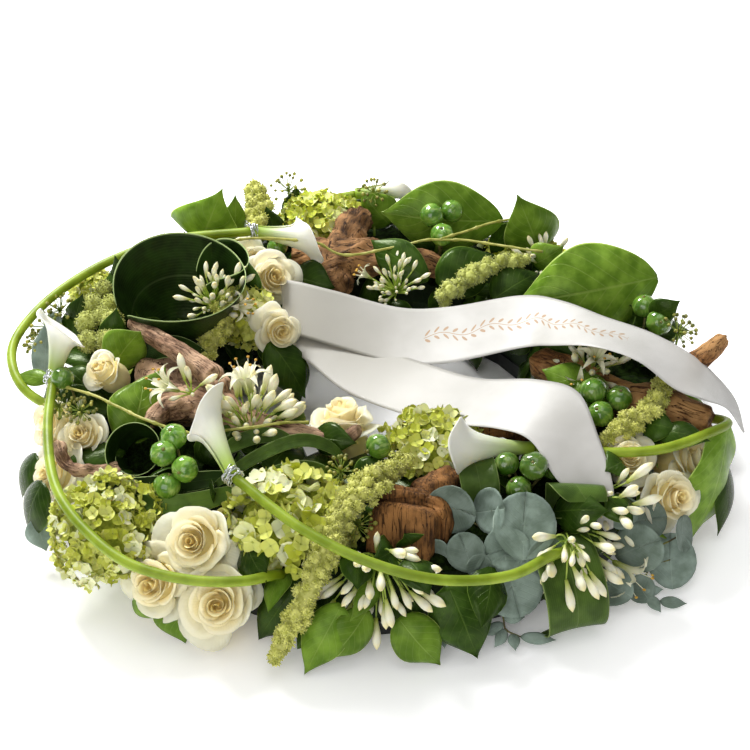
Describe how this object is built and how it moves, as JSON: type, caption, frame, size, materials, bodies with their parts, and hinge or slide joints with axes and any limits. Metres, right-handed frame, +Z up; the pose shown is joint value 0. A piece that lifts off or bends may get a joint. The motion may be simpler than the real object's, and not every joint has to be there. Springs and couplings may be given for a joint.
{
  "type": "memorial wreath",
  "caption": "Ring-shaped funeral wreath of roses, callas, hydrangeas, leaves and driftwood in a foam ring and tray, with a folded satin ribbon.",
  "frame": {"origin": "on the ground, under the middle of the wreath's whole footprint", "axes": "+Z up; -Y the front; +X to the right seen from the front"},
  "size_m": [0.6922, 0.6548, 0.1783],
  "materials": {
    "tray": "dark green moulded plastic, matt",
    "foam": "wet open-cell floral foam, dull green",
    "satin": "white satin ribbon with a soft sheen",
    "calla_stem": "smooth lime green living stem",
    "calla_spathe": "creamy white waxy spathe",
    "rose_petal": "soft cream petals, warmer in the heart",
    "hydrangea": "lime green florets",
    "agapanthus_bud": "white buds with cream tips",
    "amaranth": "dull yellow-green knobbly seed heads",
    "fruit": "glossy ribbed green fruit",
    "driftwood": "weathered reddish brown wood with deep grain",
    "dark_leaf": "glossy dark green leaf with pale veins",
    "eucalyptus": "matt blue-grey bloom"
  },
  "bodies": {
    "root": {"tray": "tray", "foam_ring": "foam", "ribbon": "satin", "calla_stem_left": "calla_stem", "calla_stem_front": "calla_stem", "calla_stem_back_left": "calla_stem", "calla_stem_right": "calla_stem", "calla_stem_back": "calla_stem", "calla_spathe_left": "calla_spathe", "calla_spathe_front": "calla_spathe", "calla_spathe_back_left": "calla_spathe", "calla_spathe_right": "calla_spathe", "calla_spathe_back": "calla_spathe", "fruits_left": "fruit", "fruits_front": "fruit", "fruits_right": "fruit", "fruits_back": "fruit", "rose_front": "rose_petal", "rose_front_low": "rose_petal", "rose_front_side": "rose_petal", "rose_left_low": "rose_petal", "rose_left": "rose_petal", "rose_left_top": "rose_petal", "rose_left_bud": "rose_petal", "rose_inner_left": "rose_petal", "rose_inner_front": "rose_petal", "rose_right_inner": "rose_petal", "rose_right": "rose_petal", "rose_right_rear": "rose_petal", "driftwood_left": "driftwood", "driftwood_front": "driftwood", "driftwood_back": "driftwood", "driftwood_right": "driftwood", "agapanthus_left": "agapanthus_bud", "agapanthus_inner_left": "agapanthus_bud", "agapanthus_front": "agapanthus_bud", "agapanthus_front_right": "agapanthus_bud", "agapanthus_right": "agapanthus_bud", "amaranth_left": "amaranth", "amaranth_inner_left": "amaranth", "amaranth_front": "amaranth", "amaranth_back": "amaranth", "amaranth_back_right": "amaranth", "amaranth_right": "amaranth", "eucalyptus_front": "eucalyptus", "eucalyptus_right": "eucalyptus", "rolled_leaf_left": "dark_leaf", "rolled_leaf_front_left": "dark_leaf", "rolled_leaf_front_right": "dark_leaf", "leaf_back": "dark_leaf", "leaf_back_right": "dark_leaf", "leaf_right": "dark_leaf", "leaf_spray_right_rear": "dark_leaf", "leaf_spray_back": "dark_leaf", "leaf_spray_back_left": "dark_leaf", "hydrangea_front_left": "hydrangea", "hydrangea_front": "hydrangea", "hydrangea_inner": "hydrangea", "hydrangea_back": "hydrangea", "hydrangea_inner_left": "hydrangea"}
  },
  "joints": []
}
